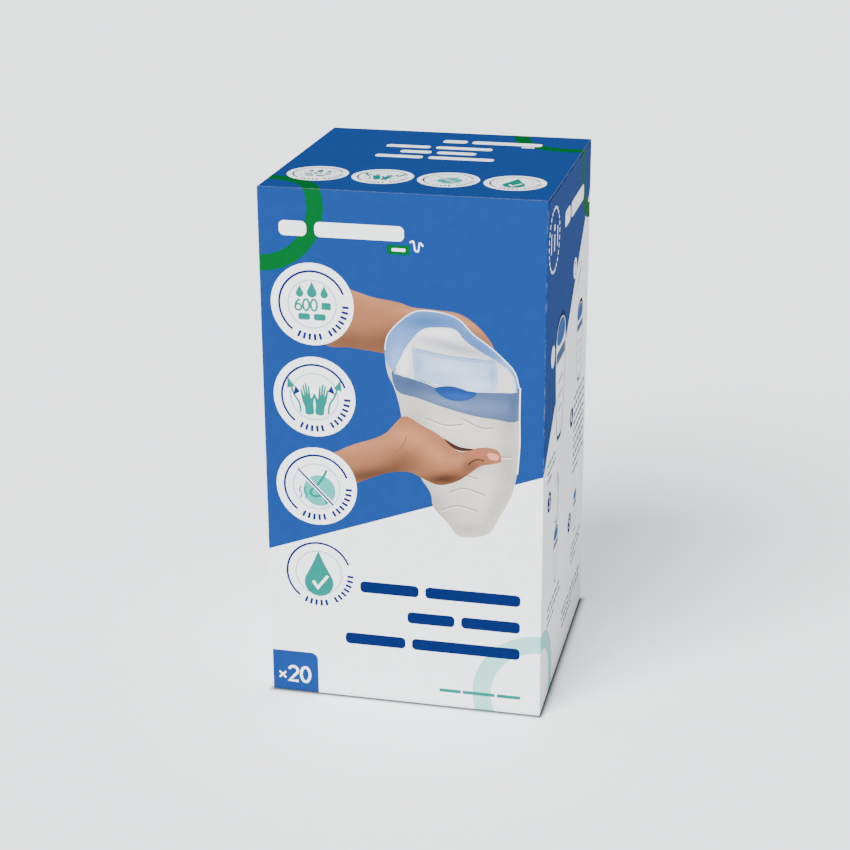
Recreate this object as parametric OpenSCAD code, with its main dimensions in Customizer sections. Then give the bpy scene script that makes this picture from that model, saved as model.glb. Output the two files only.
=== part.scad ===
// A printed folding carton of twenty flat disposable urinal bags.
// Millimetres, +Z up, origin at the centre of the carton's underside.
// The front panel faces -Y and the right side panel faces +X.

/* [Carton] */

// Width across the front panel
carton_w = 126; // [80:1:200]
// Depth from the front panel to the back panel
carton_d = 124; // [60:1:200]
// Height of the front panel
carton_h = 240; // [150:1:320]
// Thickness of the board
board = 0.5; // [0.35:0.05:0.8]

/* [Flaps] */

// Length of the tuck flap on the lid's front edge
tuck_l = 18; // [12:1:30]
// Angle that the tucked flap leans in from the front panel
tuck_lean = 8.5; // [6:0.5:12]
// Radius of the tuck flap's free corners
tuck_corner_r = 9; // [3:1:14]
// Reach of each dust flap from its side panel
dust_l = 50; // [30:1:58]
// Reach of the flaps that are glued inside the bottom
bottom_minor_l = 44; // [20:1:58]
// Half width of the tongue that locks the two bottom flaps
tongue_half_w = 26; // [15:1:40]
// How far that tongue reaches past the middle
tongue_l = 14; // [8:1:24]
// Width of the glued flap inside the back left edge
glue_w = 16; // [10:1:24]

/* [Bags] */

// Number of bags
bag_count = 20; // [10:1:24]
// Height of a flat bag
bag_h = 225; // [150:1:232]
// Width of a flat bag at its mouth
bag_w = 119; // [80:1:122]
// Thickness of a flat bag without its collar
bag_t = 5; // [3:0.2:8]
// Thickness of the bag's film
film = 0.35; // [0.2:0.05:0.6]
// Thickness of the blue collar's film
collar_film = 0.3; // [0.2:0.05:0.6]
// Height of the blue collar
collar_h = 42; // [20:1:70]
// Radius of the thumb notch in the collar
notch_r = 13; // [6:1:20]
// How far the absorbent pad stops below the mouth
pad_drop = 2; // [0:0.5:20]

/* [Hidden] */

$fn = 64;
gap = 0.3;                    // clearance around creased and tucked edges
lid_gap = 0.2;                // clearance under the lid
half_w = carton_w / 2;
half_d = carton_d / 2;
side_top = carton_h - board - lid_gap;

// The lid's front crease, and where the fold's inside corner falls
crease_y = -half_d + board + gap;
fold_y = crease_y + board * (1 + sin(tuck_lean)) / cos(tuck_lean);
tuck_half_w = half_w - board - 1.5;

// Dust flaps taper at the back, since the lid clears them slowly beside its crease
dust_front_y = -half_d + 2.5;
dust_back_y = half_d - 1;
dust_taper_x = 27;
dust_taper_y = 16;
dust_notch = 6;

// Bags stand between the tuck flap's lean and the glued flap
bag_base = 2 * board;
bag_front_y = crease_y + tuck_l * sin(tuck_lean) + board + gap;
bag_back_y = half_d - 2 * board - gap;
bag_pitch = (bag_back_y - bag_front_y) / bag_count;
bag_foot_x = 20;
bag_foot_r = 32;
bag_shoulder_z = 118;

function two_digits(i) = i < 10 ? str("0", i) : str(i);
function bag_node(i, piece) = str("urinal_", two_digits(i), "_", piece);
function bag_y(i) = bag_front_y + (i - 0.5) * bag_pitch;

// ---- helpers ----

// An outline in X and Z, given its depth along Y about y = 0
module along_y(depth) {
    rotate([90, 0, 0])
        linear_extrude(depth, center = true)
            children();
}

// An outline in Y and Z, given its width along X about x = 0
module along_x(width) {
    rotate([90, 0, 90])
        linear_extrude(width, center = true)
            children();
}

// A panel as wide as the carton, standing at the front. Its upright edges and its foot
// are mitred, left_cut is the mitre on the left, and inner_top is the inner face's height.
module wide_panel(left_cut, inner_top) {
    intersection() {
        linear_extrude(carton_h)
            polygon([
                [-half_w, -half_d],
                [half_w, -half_d],
                [half_w - board, -half_d + board],
                [-half_w + left_cut, -half_d + board],
            ]);
        along_x(carton_w + 2)
            polygon([
                [-half_d, 0],
                [-half_d, carton_h],
                [-half_d + board, inner_top],
                [-half_d + board, board],
            ]);
    }
}

// The right panel seen from above, up to its back edge
module side_outline(back_y, back_inner_y) {
    polygon([
        [half_w, -half_d],
        [half_w, back_y],
        [half_w - board, back_inner_y],
        [half_w - board, -half_d + board],
    ]);
}

// The right panel seen from the front, mitred to its two flaps
module side_profile() {
    polygon([
        [half_w, board],
        [half_w, side_top],
        [half_w - board, side_top - board],
        [half_w - board, 2 * board],
    ]);
}

module side_panel(back_y, back_inner_y) {
    intersection() {
        linear_extrude(carton_h)
            side_outline(back_y, back_inner_y);
        along_y(carton_d + 2)
            side_profile();
    }
}

// The right dust flap from above: a shoulder at the front, a taper at the back
module dust_outline() {
    polygon([
        [half_w, dust_front_y + dust_notch],
        [half_w - 3, dust_front_y + dust_notch],
        [half_w - 6, dust_front_y],
        [half_w - dust_l + 6, dust_front_y + 2],
        [half_w - dust_l, dust_front_y + 8],
        [half_w - dust_l, dust_back_y - dust_taper_y - 14],
        [half_w - dust_taper_x, dust_back_y - dust_taper_y],
        [half_w, dust_back_y],
    ]);
}

module dust_flap() {
    intersection() {
        linear_extrude(carton_h)
            dust_outline();
        along_y(carton_d)
            polygon([
                [half_w, side_top],
                [half_w - board, side_top - board],
                [half_w - dust_l - 1, side_top - board],
                [half_w - dust_l - 1, side_top],
            ]);
    }
}

// The right glued bottom flap: a trapezium with one slanted end
module bottom_minor_flap() {
    intersection() {
        linear_extrude(carton_h)
            polygon([
                [half_w, -half_d + 2],
                [half_w, half_d - 2],
                [half_w - bottom_minor_l, half_d - 8],
                [half_w - bottom_minor_l, -half_d + 30],
            ]);
        along_y(carton_d)
            polygon([
                [half_w, board],
                [half_w - board, 2 * board],
                [half_w - bottom_minor_l, 2 * board],
                [half_w - bottom_minor_l, board],
            ]);
    }
}

// The bottom half that the front flap covers, with its tongue
module bottom_front_outline(grow) {
    polygon([
        [-half_w + gap, -half_d],
        [half_w - gap, -half_d],
        [half_w - gap, grow],
        [tongue_half_w + 6 + grow, grow],
        [tongue_half_w + grow, tongue_l + grow],
        [-tongue_half_w - grow, tongue_l + grow],
        [-tongue_half_w - 6 - grow, grow],
        [-half_w + gap, grow],
    ]);
}

// Trims a bottom flap to the mitre at its crease with the front panel
module bottom_crease_cut() {
    along_x(carton_w + 2)
        polygon([
            [-half_d, 0],
            [half_d - board, 0],
            [half_d - board, board],
            [-half_d + board, board],
        ]);
}

// A flat bag's outline: straight below the mouth, then tapering to a rounded foot.
// inset moves every edge in, and top sets how high the outline goes.
module bag_outline(inset, top) {
    r = bag_foot_r - inset;
    x = bag_w / 2 - inset;
    dx = x - bag_foot_x;
    dz = bag_shoulder_z - bag_foot_r;
    turn = atan2(dz, dx) - acos(r / sqrt(dx * dx + dz * dz));
    tx = bag_foot_x + r * cos(turn);
    tz = bag_foot_r + r * sin(turn);
    polygon([
        [x, top],
        [-x, top],
        [-x, bag_shoulder_z],
        [-tx, tz],
        [-bag_foot_x, inset],
        [bag_foot_x, inset],
        [tx, tz],
        [x, bag_shoulder_z],
    ]);
    for (side = [-1, 1])
        translate([side * bag_foot_x, bag_foot_r])
            circle(r);
}

// ---- carton ----

module front_panel() {
    color("#2868AA")
        wide_panel(board, carton_h);
}

module back_panel() {
    color("#2868AA")
        mirror([0, 1, 0])
            wide_panel(0, carton_h - board);
}

module right_panel() {
    color("#1F4676")
        side_panel(half_d, half_d - board);
}

module left_panel() {
    color("#1F4676")
        mirror([1, 0, 0])
            side_panel(half_d - board, half_d - 2 * board);
}

module glue_flap() {
    color("#D8D3C8")
        translate([0, 0, 3])
            linear_extrude(side_top - 8)
                polygon([
                    [-half_w, half_d - board],
                    [-half_w + board, half_d - 2 * board],
                    [-half_w + glue_w, half_d - 2 * board],
                    [-half_w + glue_w, half_d - board],
                ]);
}

module lid_panel() {
    color("#1E5596")
        along_x(carton_w - 2 * gap)
            polygon([
                [half_d, carton_h],
                [half_d - board, carton_h - board],
                [fold_y, carton_h - board],
                [crease_y, carton_h],
            ]);
}

module lid_tuck_flap() {
    color("#1E5596")
        translate([0, crease_y, carton_h])
            rotate([tuck_lean, 0, 0])
                intersection() {
                    rotate([90, 0, 0])
                        translate([0, 0, -board])
                            linear_extrude(board)
                                tuck_outline();
                    along_x(carton_w)
                        tuck_profile();
                }
}

// The tuck flap hanging from its crease, with rounded free corners
module tuck_outline() {
    straight = tuck_l - tuck_corner_r;
    translate([-tuck_half_w, -straight])
        square([2 * tuck_half_w, straight]);
    translate([-tuck_half_w + tuck_corner_r, -tuck_l])
        square([2 * (tuck_half_w - tuck_corner_r), tuck_l]);
    for (side = [-1, 1])
        translate([side * (tuck_half_w - tuck_corner_r), -straight])
            circle(tuck_corner_r);
}

// Its section, cut at the crease to halve the fold's angle
module tuck_profile() {
    fold = board * (1 + sin(tuck_lean)) / cos(tuck_lean);
    polygon([
        [0, 0],
        [board, -fold],
        [board, -tuck_l - 1],
        [0, -tuck_l - 1],
    ]);
}

module dust_flap_right() {
    color("#D8D3C8")
        dust_flap();
}

module dust_flap_left() {
    color("#D8D3C8")
        mirror([1, 0, 0])
            dust_flap();
}

module bottom_flap_front() {
    color("#F5F7F9")
        intersection() {
            linear_extrude(board)
                bottom_front_outline(0);
            bottom_crease_cut();
        }
}

module bottom_flap_back() {
    color("#F5F7F9")
        difference() {
            mirror([0, 1, 0])
                along_x(carton_w - 2 * gap)
                    polygon([
                        [-half_d, 0],
                        [half_d - 1, 0],
                        [half_d - 1, board],
                        [-half_d + board, board],
                    ]);
            translate([0, 0, -1])
                linear_extrude(board + 2)
                    bottom_front_outline(gap);
            translate([-half_w - 1, -half_d - 1, -1])
                cube([carton_w + 2, half_d + 1, board + 2]);
        }
}

module bottom_flap_right() {
    color("#D8D3C8")
        bottom_minor_flap();
}

module bottom_flap_left() {
    color("#D8D3C8")
        mirror([1, 0, 0])
            bottom_minor_flap();
}

// ---- bags ----

// A film pocket, open at the top
module bag_pocket(i) {
    color("#F2F0EA")
        translate([0, bag_y(i), bag_base])
            difference() {
                along_y(bag_t)
                    bag_outline(0, bag_h);
                along_y(bag_t - 2 * film)
                    bag_outline(film, bag_h + 1);
            }
}

// The blue film band round the mouth, with a thumb notch in front
module bag_collar(i) {
    outer = bag_t + 2 * collar_film;
    color("#A9C3DD")
        translate([0, bag_y(i), bag_base])
            difference() {
                translate([-bag_w / 2 - collar_film, -outer / 2, bag_h - collar_h])
                    cube([bag_w + 2 * collar_film, outer, collar_h]);
                translate([-bag_w / 2, -bag_t / 2, bag_h - collar_h - 1])
                    cube([bag_w, bag_t, collar_h + 2]);
                translate([0, -outer / 2, bag_h])
                    along_y(outer)
                        circle(notch_r);
            }
}

// The pads: each fills its pocket
module absorbent_pads() {
    color("#B9D3E6")
        for (i = [1 : bag_count])
            translate([0, bag_y(i), bag_base])
                along_y(bag_t - 2 * film)
                    bag_outline(film, bag_h - pad_drop);
}

front_panel();
right_panel();
back_panel();
left_panel();
glue_flap();
lid_panel();
lid_tuck_flap();
dust_flap_left();
dust_flap_right();
bottom_flap_front();
bottom_flap_back();
bottom_flap_left();
bottom_flap_right();
for (i = [1 : bag_count]) {
    bag_pocket(i);
    bag_collar(i);
}
absorbent_pads();
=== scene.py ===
"""A printed carton of flat disposable urinal bags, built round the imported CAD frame.

Every board piece is one or two closed sheets 0.5 mm thick. The print is drawn as flat outlines in
a panel's own millimetres (u to the right, v up, seen from outside), painted back to front.
"""

import math
import random

import bpy
import numpy as np
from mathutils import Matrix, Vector
from mathutils.geometry import delaunay_2d_cdt


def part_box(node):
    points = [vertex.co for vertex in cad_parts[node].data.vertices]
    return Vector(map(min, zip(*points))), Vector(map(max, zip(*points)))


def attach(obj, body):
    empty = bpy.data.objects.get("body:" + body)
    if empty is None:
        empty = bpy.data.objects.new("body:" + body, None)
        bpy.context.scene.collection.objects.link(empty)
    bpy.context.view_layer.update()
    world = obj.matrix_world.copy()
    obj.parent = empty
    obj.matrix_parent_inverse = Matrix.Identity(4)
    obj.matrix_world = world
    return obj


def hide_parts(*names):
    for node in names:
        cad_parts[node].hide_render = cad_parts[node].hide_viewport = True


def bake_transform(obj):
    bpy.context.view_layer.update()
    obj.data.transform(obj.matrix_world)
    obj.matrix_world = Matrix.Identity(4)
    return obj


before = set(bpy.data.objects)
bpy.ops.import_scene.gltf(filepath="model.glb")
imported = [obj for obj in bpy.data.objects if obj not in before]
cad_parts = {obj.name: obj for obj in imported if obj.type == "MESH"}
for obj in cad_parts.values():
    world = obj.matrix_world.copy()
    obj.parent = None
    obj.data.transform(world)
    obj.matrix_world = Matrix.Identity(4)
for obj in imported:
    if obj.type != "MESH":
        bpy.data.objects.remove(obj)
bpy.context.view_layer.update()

# ---- sizes, in millimetres: the frame's, then the tuck flap's and the creases' ----

MM = 0.001


def box_mm(node):
    low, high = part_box(node)
    return [c / MM for c in low], [c / MM for c in high]


front_low, front_high = box_mm("front_panel")
side_low, side_high = box_mm("right_panel")
lid_low = box_mm("lid_panel")[0]
WIDTH = front_high[0] - front_low[0]
HEIGHT = front_high[2]
BOARD = front_high[1] - front_low[1]
DEPTH = side_high[1] - side_low[1]
HALF_W = WIDTH / 2
HALF_D = DEPTH / 2
SIDE_TOP = side_high[2]
CREASE_Y = lid_low[1]
LID_MARGIN = lid_low[0] + HALF_W
TUCK_LENGTH = 18.0
TUCK_LEAN = math.radians(8.5)
TUCK_CORNER = 9.0
TUCK_MARGIN = 2.0

FOLD_RADIUS = 0.6     # outside radius of a crease
STRIP = 1.5           # how far a crease strip reaches on each side of its fold
MITRE_SPAN = 1.5      # the inner face is square again this many crease reaches from the corner
WEAR_REACH = 1.3      # how far a crease's wear spreads over the flat
SQUARE_FOLD = math.radians(45)
TUCK_FOLD = (math.pi / 2 + TUCK_LEAN) / 2

# ---- colours ----


def linear(value):
    value = value / 255
    return value / 12.92 if value <= 0.04045 else ((value + 0.055) / 1.055) ** 2.4


def rgb(red, green, blue):
    return np.array([linear(red), linear(green), linear(blue)])


BLUE = rgb(22, 57, 118)
WHITE = rgb(246, 248, 250)
GREEN = rgb(0, 84, 36)
TEAL = rgb(14, 116, 106)
PALE_TEAL = rgb(150, 208, 202)
NAVY = rgb(8, 28, 80)
INK = rgb(24, 28, 92)
GREY = rgb(176, 188, 200)
CUT_FIBRE = rgb(170, 176, 186)
INNER_FACE = (0.9, 0.9, 0.9, 0.0)
CUT_TINT = 0.75       # the print's share of the colour of a cut edge

# ---- outlines, in a panel's millimetres ----


def arc(cu, cv, radius, start, end, tall=1.0):
    steps = max(3, int(abs(end - start) / 9))
    angles = [math.radians(start + (end - start) * k / steps) for k in range(steps + 1)]
    return [(cu + radius * math.cos(a), cv + radius * tall * math.sin(a)) for a in angles]


def disc(cu, cv, radius):
    return arc(cu, cv, radius, 0, 360)[:-1]


def band(cu, cv, inner, outer, start, end):
    return arc(cu, cv, outer, start, end) + arc(cu, cv, inner, end, start)


def ring(cu, cv, inner, outer):
    return [band(cu, cv, inner, outer, 0, 180), band(cu, cv, inner, outer, 180, 360)]


def stroke(points, width):
    """A line of points thickened to a width, with mitred corners."""
    p = np.array(points, float)
    d = np.diff(p, axis=0)
    d /= np.maximum(np.linalg.norm(d, axis=1), 1e-9)[:, None]
    n = np.column_stack([-d[:, 1], d[:, 0]])
    mitre = np.vstack([2 * n[:1], n[:-1] + n[1:], 2 * n[-1:]])
    side = mitre * (width / np.maximum((mitre ** 2).sum(1), 1.2))[:, None]
    return [tuple(q) for q in p + side] + [tuple(q) for q in (p - side)[::-1]]


def bar(u0, v0, u1, v1, radius):
    """An upright rectangle with round corners, from corner to corner."""
    r = min(radius, min(abs(u1 - u0), abs(v1 - v0)) / 2 * 0.98)
    return (arc(u1 - r, v0 + r, r, -90, 0) + arc(u1 - r, v1 - r, r, 0, 90)
            + arc(u0 + r, v1 - r, r, 90, 180) + arc(u0 + r, v0 + r, r, 180, 270))


def smooth(points, steps=5, closed=True):
    """A curve through the points."""
    p = np.array(points, float)
    out = []
    count = len(p)
    spans = count if closed else count - 1
    for k in range(spans):
        if closed:
            a, b, c, d = p[k - 1], p[k], p[(k + 1) % count], p[(k + 2) % count]
        else:
            a, b, c, d = p[max(k - 1, 0)], p[k], p[k + 1], p[min(k + 2, count - 1)]
        for s in range(steps):
            t = s / steps
            out.append(tuple(0.5 * (2 * b + (c - a) * t + (2 * a - 5 * b + 4 * c - d) * t ** 2
                                    + (3 * b - a - 3 * c + d) * t ** 3)))
    if not closed:
        out.append(tuple(p[-1]))
    return out


def curve(points, width, steps=4):
    """A curved line through the points, thickened to a width."""
    return stroke(smooth(points, steps, False), width)


def drop(cu, cv, radius):
    """A drop with its round end down, about the round end's centre."""
    tip = (cu, cv + 2.3 * radius)
    return arc(cu, cv, radius, 152, 388) + [
        (cu + 0.42 * radius, cv + 1.35 * radius), tip, (cu - 0.42 * radius, cv + 1.35 * radius)]


def moved(outline, cu, cv, turn=0.0, scale=1.0, flip=1):
    c, s = math.cos(math.radians(turn)), math.sin(math.radians(turn))
    return [(cu + scale * (flip * u * c - v * s), cv + scale * (flip * u * s + v * c))
            for u, v in outline]


def numeral(mark, cu, cv, height, weight):
    """The strokes of one plain numeral, centred on a place."""
    h, w = height / 2, height * 0.28
    if mark == "0":
        lines = [arc(0, 0, w, -95, 95, h / w), arc(0, 0, w, 85, 275, h / w)]
    elif mark == "6":
        lines = [arc(0, -h + w, w, -5, 185), arc(0, -h + w, w, 175, 365),
                 smooth([(-w, -h + w), (-w * 0.7, h * 0.35), (w * 0.5, h)], 5, False)]
    elif mark == "2":
        lines = [arc(0, h - w, w, 165, -35) + [(-w, -h), (w * 1.1, -h)]]
    elif mark == "x":
        lines = [[(-w, -w * 1.2), (w, w * 0.8)], [(-w, w * 0.8), (w, -w * 1.2)]]
    elif mark == "3":
        lines = [arc(0, h / 2, h / 2, 150, -80), arc(0, -h / 2, h / 2, 80, -150)]
    elif mark == "4":
        lines = [[(w * 0.4, -h), (w * 0.4, h * 0.4)],
                 [(w * 0.1, h), (-w, -h * 0.35), (w * 1.2, -h * 0.35)]]
    elif mark == "5":
        lines = [[(w, h), (-w * 0.7, h), (-w * 0.8, h * 0.1)],
                 arc(-w * 0.1, -h * 0.35, w * 1.1, 130, -140)]
    else:
        lines = [[(-w * 0.6, h * 0.55), (0, h), (0, -h)]]
    return [moved(stroke(line, weight), cu, cv) for line in lines]


def words(u, v, lengths, height, gap, right=False):
    """A line of text as one soft bar for each word."""
    out = []
    for length in lengths:
        low, high = (u - length, u) if right else (u, u + length)
        out.append(bar(low, v, high, v + height, height * 0.36))
        u += (-1 if right else 1) * (length + gap)
    return out


# ---- paints ----


def shaded(base, spots):
    """A paint that mixes soft spots over a base.

    Each spot is (u, v, reach_u, reach_v, turn, colour, share).
    """
    def paint(places):
        colour = np.repeat(base[None, :], len(places), axis=0)
        for cu, cv, reach_u, reach_v, turn, tint, share in spots:
            c, s = math.cos(math.radians(turn)), math.sin(math.radians(turn))
            du, dv = places[:, 0] - cu, places[:, 1] - cv
            a = (du * c + dv * s) / reach_u
            b = (-du * s + dv * c) / reach_v
            weight = (share * np.exp(-a * a - b * b))[:, None]
            colour = colour * (1 - weight) + tint[None, :] * weight
        return colour
    return paint


def flat(colour):
    return lambda places: np.repeat(colour[None, :], len(places), axis=0)


class Art:
    """Outlines with their paints, from back to front, and the soft parts' extra points."""

    def __init__(self, base):
        self.base = flat(base)
        self.shapes = []
        self.points = []

    def add(self, outlines, paint):
        if isinstance(outlines[0], tuple):
            outlines = [outlines]
        if isinstance(paint, np.ndarray):
            paint = flat(paint)
        for outline in outlines:
            self.shapes.append((outline, paint))

    def place(self, other, cu, cv, scale=1.0):
        """Adds another piece of art at a place."""
        def shifted(paint):
            return lambda places: paint((places - (cu, cv)) / scale)
        for outline, paint in other.shapes:
            self.shapes.append((moved(outline, cu, cv, 0, scale), shifted(paint)))
        self.points.extend((cu + scale * u, cv + scale * v) for u, v in other.points)

    def soften(self, u0, v0, u1, v1, step):
        """Points that carry a soft paint's shading across a wide outline."""
        row = 0
        v = v0
        while v < v1:
            u = u0 + (step / 2 if row % 2 else 0)
            while u < u1:
                self.points.append((u, v))
                u += step
            v += step * 0.87
            row += 1


# ---- sheets of board ----


def area(outline):
    p = np.array(outline)
    q = np.roll(p, -1, axis=0)
    return 0.5 * float((p[:, 0] * q[:, 1] - q[:, 0] * p[:, 1]).sum())


def tessellate(outline, art, lines):
    """Cuts an outline by the art's outlines: places, triangles, and each triangle's paint number."""
    verts, faces, edges = [], [], []
    for shape in [outline] + [s for s, _ in art.shapes]:
        if area(shape) < 0:
            shape = shape[::-1]
        faces.append(list(range(len(verts), len(verts) + len(shape))))
        verts.extend(Vector(p) for p in shape)
    for a, b in lines:
        edges.append((len(verts), len(verts) + 1))
        verts.extend([Vector(a), Vector(b)])
    us = [p[0] for p in outline]
    vs = [p[1] for p in outline]
    verts.extend(Vector(p) for p in art.points
                 if min(us) < p[0] < max(us) and min(vs) < p[1] < max(vs))
    places, _, tris, _, _, sources = delaunay_2d_cdt(verts, edges, faces, 1, 1e-4)
    kept = [(t, max(s)) for t, s in zip(tris, sources) if 0 in s]
    used = sorted({i for t, _ in kept for i in t})
    new = {old: k for k, old in enumerate(used)}
    return (np.array([places[i] for i in used]), np.array([[new[i] for i in t] for t, _ in kept]),
            np.array([n for _, n in kept]))


class Panel:
    """A flat panel with its print. Each fold is (axis, low or high side, corner line, half of its turn)."""

    def __init__(self, origin, u_axis, v_axis, folds, art):
        self.origin = np.array(origin, float)
        self.u = np.array(u_axis, float)
        self.v = np.array(v_axis, float)
        self.out = np.cross(self.u, self.v)
        self.folds = folds
        self.art = art

    def place(self, places, inner):
        """The places on the outer or the inner face, in metres, rounded into each fold."""
        q = places.copy()
        depth = np.full(len(q), BOARD if inner else 0.0)
        for axis, side, corner, turn in self.folds:
            s = (places[:, axis] - corner) * side
            reach = FOLD_RADIUS * math.tan(turn)
            if inner:
                mitre = BOARD * math.tan(turn)
                straight = MITRE_SPAN * reach
                near = s < straight
                shifted = corner + side * (mitre + s * (straight - mitre) / straight)
            else:
                near = s < reach
                angle = (1 - np.clip(s / reach, 0, 1)) * turn
                shifted = corner + side * (reach - FOLD_RADIUS * np.sin(angle))
                depth += FOLD_RADIUS * (1 - np.cos(angle))
            q[:, axis] = np.where(near, shifted, q[:, axis])
        return (self.origin + q[:, :1] * self.u + q[:, 1:] * self.v - depth[:, None] * self.out) * MM

    def wear(self, places):
        """1 on a fold's corner, fading to 0 on the flat."""
        worn = np.zeros(len(places))
        for axis, _, corner, _ in self.folds:
            worn = np.maximum(worn, 1 - np.abs(places[:, axis] - corner) / WEAR_REACH)
        return np.clip(worn, 0, 1)

    def sheet(self, outline):
        """The closed sheet over an outline: vertices, faces, corner colours and material numbers."""
        low, high = np.min(outline, axis=0) - 1, np.max(outline, axis=0) + 1
        lines = []
        for axis, side, corner, turn in self.folds:
            reach = FOLD_RADIUS * math.tan(turn)
            for share in (1 / 3, 2 / 3, 1, MITRE_SPAN):
                at = corner + side * reach * share
                if axis == 0:
                    lines.append(((at, low[1]), (at, high[1])))
                else:
                    lines.append(((low[0], at), (high[0], at)))
        places, tris, paints = tessellate(outline, self.art, lines)
        count = len(places)
        verts = np.vstack([self.place(places, False), self.place(places, True)])
        directed = np.vstack([tris[:, [0, 1]], tris[:, [1, 2]], tris[:, [2, 0]]])
        owner = {(a, b): k % len(tris) for k, (a, b) in enumerate(directed.tolist())}
        rim = sorted((a, b) for a, b in owner if (b, a) not in owner)
        faces = tris.tolist() + [[b, a, a + count, b + count] for a, b in rim]
        faces += (tris[:, ::-1] + count).tolist()
        corners = np.concatenate([tris.ravel(), np.array([(b, a, a, b) for a, b in rim]).ravel()])
        numbers = np.concatenate([np.repeat(paints, 3), np.repeat([paints[owner[e]] for e in rim], 4)])
        colours = np.zeros((len(corners), 4))
        for number in sorted(set(paints.tolist())):
            paint = self.art.base if number == 0 else self.art.shapes[number - 1][1]
            mine = numbers == number
            colours[mine, :3] = paint(places[corners[mine]])
        face_corners = len(tris) * 3
        colours[:face_corners, 3] = self.wear(places)[tris.ravel()]
        colours[face_corners:, :3] = CUT_TINT * colours[face_corners:, :3] + (1 - CUT_TINT) * CUT_FIBRE
        colours = np.vstack([colours, np.tile(INNER_FACE, (face_corners, 1))])
        slots = [0] * (len(tris) + len(rim)) + [1] * len(tris)
        return verts, faces, colours, slots


def make_mesh(name, verts, faces, materials, slots=None):
    mesh = bpy.data.meshes.new(name)
    mesh.from_pydata([tuple(p) for p in verts], [], [tuple(f) for f in faces])
    for material in materials:
        mesh.materials.append(material)
    if slots is not None:
        mesh.polygons.foreach_set("material_index", np.array(slots, np.int32))
    mesh.polygons.foreach_set("use_smooth", np.ones(len(mesh.polygons), bool))
    mesh.update()
    piece = bpy.data.objects.new(name, mesh)
    bpy.context.scene.collection.objects.link(piece)
    return piece


def board_piece(name, parts, materials):
    """One piece of board, from (panel, outline) parts."""
    verts, faces, colours, slots = [], [], [], []
    for panel, outline in parts:
        v, f, c, s = panel.sheet(outline)
        offset = sum(len(x) for x in verts)
        verts.append(v)
        faces += [[i + offset for i in face] for face in f]
        colours.append(c)
        slots += s
    piece = make_mesh(name, np.vstack(verts), faces, materials, slots)
    layer = piece.data.color_attributes.new("print", "FLOAT_COLOR", "CORNER")
    layer.data.foreach_set("color", np.vstack(colours).astype(np.float32).ravel())
    piece.data.set_sharp_from_angle(angle=math.radians(32))
    return piece


# ---- materials ----


def new_material(name, **settings):
    material = bpy.data.materials.new(name)
    material.use_nodes = True
    shader = material.node_tree.nodes["Principled BSDF"]
    for socket, value in settings.items():
        shader.inputs[socket.replace("_", " ")].default_value = value
    return material, material.node_tree, shader


def node(tree, kind, inputs=(), **settings):
    made = tree.nodes.new(kind)
    for key, value in settings.items():
        setattr(made, key, value)
    for key, value in dict(inputs).items():
        if isinstance(value, bpy.types.NodeSocket):
            tree.links.new(value, made.inputs[key])
        else:
            made.inputs[key].default_value = value
    return made


def mix(tree, share, a, b):
    """A colour mix of a and b, each a socket or a colour."""
    made = tree.nodes.new("ShaderNodeMix")
    made.data_type = "RGBA"
    for socket, value in ((made.inputs[0], share), (made.inputs[6], a), (made.inputs[7], b)):
        if isinstance(value, bpy.types.NodeSocket):
            tree.links.new(value, socket)
        elif hasattr(value, "__len__"):
            socket.default_value = (*value, 1)
        else:
            socket.default_value = value
    return made.outputs[2]


def spread(tree, value, low, high, out_low=0.0, out_high=1.0):
    return node(tree, "ShaderNodeMapRange", {"Value": value, "From Min": low, "From Max": high,
                                             "To Min": out_low, "To Max": out_high}).outputs[0]


def noise(tree, scale, detail, stretch=(1, 1, 1)):
    place = node(tree, "ShaderNodeTexCoord").outputs["Object"]
    if stretch != (1, 1, 1):
        place = node(tree, "ShaderNodeMapping", {"Vector": place, "Scale": stretch}).outputs[0]
    return node(tree, "ShaderNodeTexNoise",
                {"Vector": place, "Scale": scale, "Detail": detail}).outputs[0]


def bump(tree, shader, height, strength, distance):
    made = node(tree, "ShaderNodeBump", {"Height": height, "Strength": strength, "Distance": distance})
    tree.links.new(made.outputs[0], shader.inputs["Normal"])


def feed(tree, shader, colour, roughness):
    tree.links.new(colour, shader.inputs["Base Color"])
    tree.links.new(roughness, shader.inputs["Roughness"])


def printed_board():
    """Ink and a thin varnish on coated board, worn to the fibre along the creases."""
    material, tree, shader = new_material("printed_board", Coat_Weight=0.05, Coat_Roughness=0.3,
                                          Specular_IOR_Level=0.0)
    ink = node(tree, "ShaderNodeAttribute", attribute_name="print")
    mottle = spread(tree, noise(tree, 220, 4), 0.3, 0.7, 0.965, 1.03)
    toned = node(tree, "ShaderNodeVectorMath", {0: ink.outputs["Color"]}, operation="SCALE")
    tree.links.new(mottle, toned.inputs["Scale"])
    cracks = spread(tree, noise(tree, 900, 5, (1, 1, 0.35)), 0.50, 0.62)
    worn = node(tree, "ShaderNodeMath", {0: spread(tree, ink.outputs["Alpha"], 0.35, 1.0, 0.0, 0.12),
                                         1: cracks}, operation="MULTIPLY").outputs[0]
    colour = mix(tree, worn, toned.outputs[0], (0.72, 0.75, 0.78))
    feed(tree, shader, colour, spread(tree, noise(tree, 140, 5), 0.3, 0.7, 0.36, 0.5))
    bump(tree, shader, noise(tree, 1500, 4), 0.06, 0.0002)
    return material


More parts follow.
